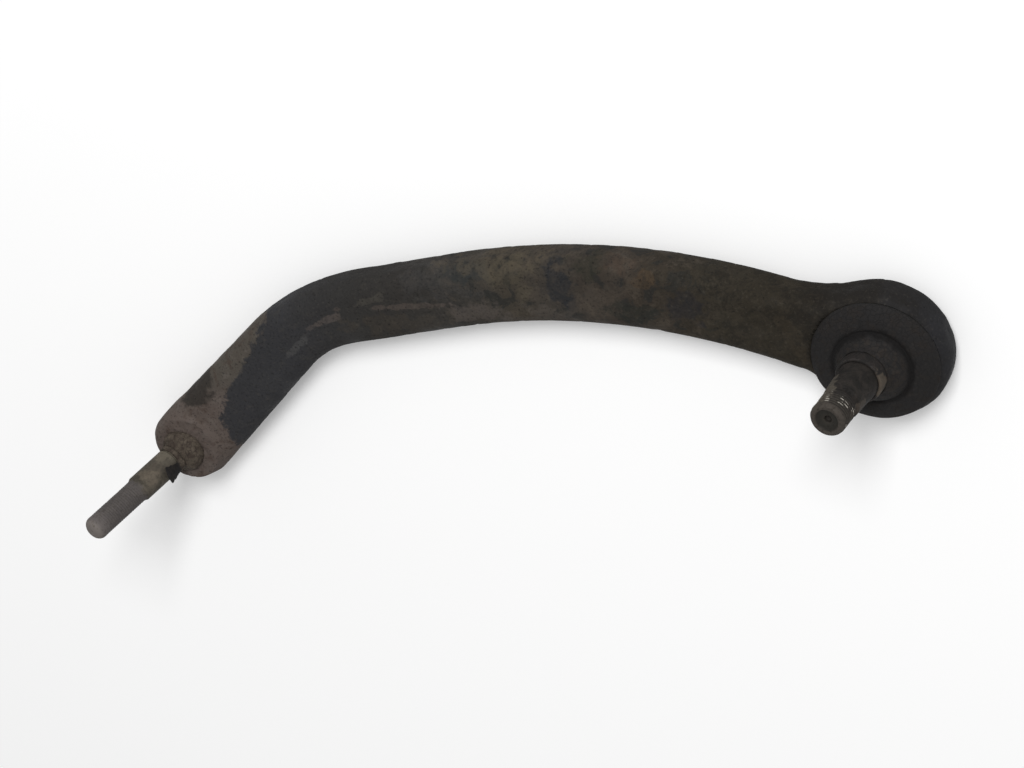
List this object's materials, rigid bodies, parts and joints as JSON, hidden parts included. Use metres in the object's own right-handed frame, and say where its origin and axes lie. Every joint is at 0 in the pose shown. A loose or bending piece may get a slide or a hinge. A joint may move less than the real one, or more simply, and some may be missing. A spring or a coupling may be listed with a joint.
{
  "type": "suspension control arm",
  "caption": "Curved forged steel suspension control arm with a tapered threaded ball stud under a squat rubber boot at its round head and a slimmer threaded ball stud at its narrow end.",
  "frame": {"origin": "centre of the flat underside of the round outer head, on the outer socket's axis", "axes": "+Z is the side that both studs point to and the outer socket's axis; -X points from the outer to the inner ball joint; the bar bows towards +Y"},
  "size_m": [0.4184, 0.105, 0.0843],
  "materials": {
    "forged_steel": "worn dark coating over forged steel, patchy rust, oily dirt and dust",
    "outer_stud_steel": "machined steel, dull and dirty, bright on worn crests",
    "ring_steel": "plated steel ring, greasy, bright upper edge",
    "rubber": "dull black rubber, dusty and oily",
    "clamp_wire": "plain steel wire",
    "seat_plastic": "off-white bearing plastic",
    "spring_steel": "spring steel",
    "cover_steel": "pressed steel, dark",
    "inner_stud_steel": "steel, mottled tan and grey-purple, light rust"
  },
  "bodies": {
    "arm": {"arm_forging": "forged_steel", "outer_ball_seat": "seat_plastic", "outer_preload_washer": "spring_steel", "outer_cover_plate": "cover_steel", "outer_dust_boot": "rubber", "outer_boot_clamp": "clamp_wire", "inner_ball_seat": "seat_plastic", "inner_preload_washer": "spring_steel", "inner_cover_plate": "cover_steel"},
    "outer_collar": {"outer_neck_ring": "ring_steel"},
    "outer_stud": {"outer_ball_stud": "outer_stud_steel"},
    "inner_collar": {"inner_boot_scrap": "rubber"},
    "inner_stud": {"inner_ball_stud": "inner_stud_steel"}
  },
  "joints": [
    {"name": "outer_swing", "type": "hinge", "parent": "arm", "child": "outer_collar", "pos_m": [0, 0, 0.017], "axis": [-0.4226, -0.9063, 0], "range_deg": [-29.5, 14.5], "deforming": ["outer_dust_boot"]},
    {"name": "outer_spin", "type": "hinge", "parent": "outer_collar", "child": "outer_stud", "pos_m": [0, 0, 0.017], "axis": [-0.1199, 0.0559, 0.9912], "continuous": true},
    {"name": "inner_swing", "type": "hinge", "parent": "arm", "child": "inner_collar", "pos_m": [-0.356, 0, 0.01669], "axis": [0.2079, -0.9781, 0], "range_deg": [-25, 5]},
    {"name": "inner_spin", "type": "hinge", "parent": "inner_collar", "child": "inner_stud", "pos_m": [-0.356, 0, 0.01669], "axis": [-0.3664, -0.0779, 0.9272], "continuous": true}
  ]
}
